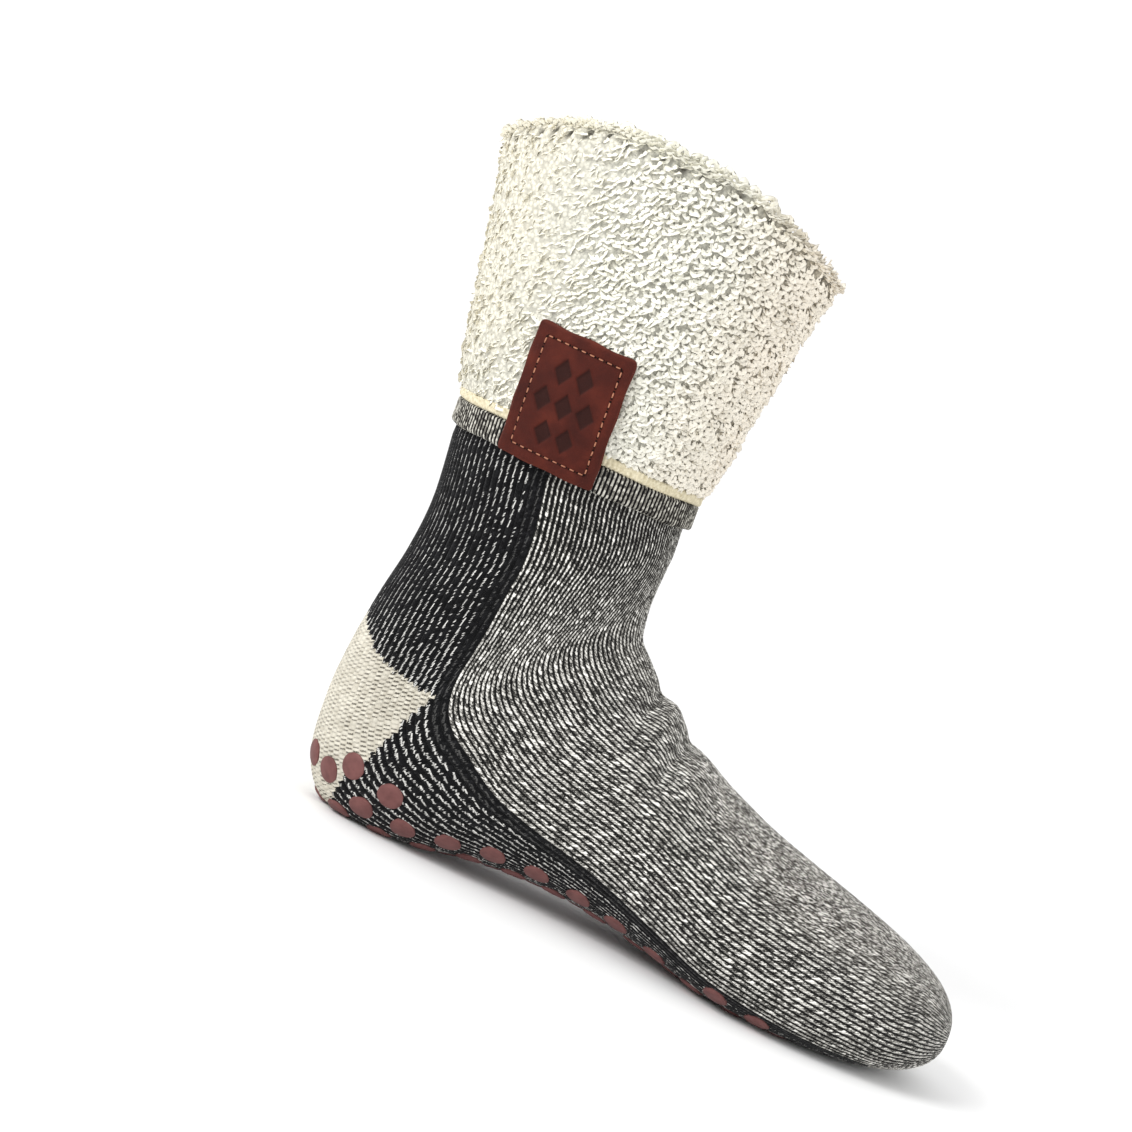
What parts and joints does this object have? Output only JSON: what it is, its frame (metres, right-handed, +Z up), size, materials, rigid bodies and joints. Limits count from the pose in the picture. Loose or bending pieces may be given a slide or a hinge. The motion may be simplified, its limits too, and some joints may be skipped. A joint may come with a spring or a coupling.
{
  "type": "slipper sock",
  "caption": "Knitted slipper sock with a turned-down terry cuff, a ribbed welt, a leather patch on the side and printed grip dots on the sole.",
  "frame": {"origin": "on the floor, below the middle of the sock's length and width", "axes": "+X to the toe, +Y to the left side, away from the patch, +Z up"},
  "size_m": [0.2838, 0.1254, 0.2659],
  "materials": {
    "marled_wool_knit": "matte marled knit",
    "ribbed_wool_welt": "matte rib knit",
    "cream_elastic_binding": "matte binding",
    "cream_wool_terry": "looped terry",
    "brown_leather": "waxed, slightly worn",
    "brown_silicone_print": "dusty matte print"
  },
  "bodies": {
    "root": {"cuff_edging": "cream_elastic_binding", "cuff_welt": "ribbed_wool_welt", "grip_ball_01": "brown_silicone_print", "grip_ball_02": "brown_silicone_print", "grip_ball_03": "brown_silicone_print", "grip_ball_04": "brown_silicone_print", "grip_ball_05": "brown_silicone_print", "grip_ball_06": "brown_silicone_print", "grip_ball_07": "brown_silicone_print", "grip_ball_08": "brown_silicone_print", "grip_ball_09": "brown_silicone_print", "grip_ball_10": "brown_silicone_print", "grip_ball_11": "brown_silicone_print", "grip_ball_12": "brown_silicone_print", "grip_ball_13": "brown_silicone_print", "grip_ball_14": "brown_silicone_print", "grip_ball_15": "brown_silicone_print", "grip_ball_16": "brown_silicone_print", "grip_ball_17": "brown_silicone_print", "grip_ball_18": "brown_silicone_print", "grip_ball_19": "brown_silicone_print", "grip_ball_20": "brown_silicone_print", "grip_ball_21": "brown_silicone_print", "grip_ball_22": "brown_silicone_print", "grip_ball_23": "brown_silicone_print", "grip_ball_24": "brown_silicone_print", "grip_heel_01": "brown_silicone_print", "grip_heel_02": "brown_silicone_print", "grip_heel_03": "brown_silicone_print", "grip_heel_04": "brown_silicone_print", "grip_heel_05": "brown_silicone_print", "grip_heel_06": "brown_silicone_print", "grip_heel_07": "brown_silicone_print", "grip_heel_08": "brown_silicone_print", "grip_heel_09": "brown_silicone_print", "grip_heel_10": "brown_silicone_print", "grip_heel_11": "brown_silicone_print", "grip_heel_12": "brown_silicone_print", "grip_heel_13": "brown_silicone_print", "grip_heel_14": "brown_silicone_print", "grip_heel_15": "brown_silicone_print", "grip_heel_16": "brown_silicone_print", "grip_heel_17": "brown_silicone_print", "grip_heel_18": "brown_silicone_print", "grip_heel_19": "brown_silicone_print", "grip_heel_20": "brown_silicone_print", "grip_heel_21": "brown_silicone_print", "grip_heel_22": "brown_silicone_print", "grip_heel_23": "brown_silicone_print", "grip_heel_24": "brown_silicone_print", "grip_heel_25": "brown_silicone_print", "grip_heel_26": "brown_silicone_print", "grip_heel_27": "brown_silicone_print", "knit_body": "marled_wool_knit", "leather_patch": "brown_leather", "terry_cuff": "cream_wool_terry"}
  },
  "joints": []
}
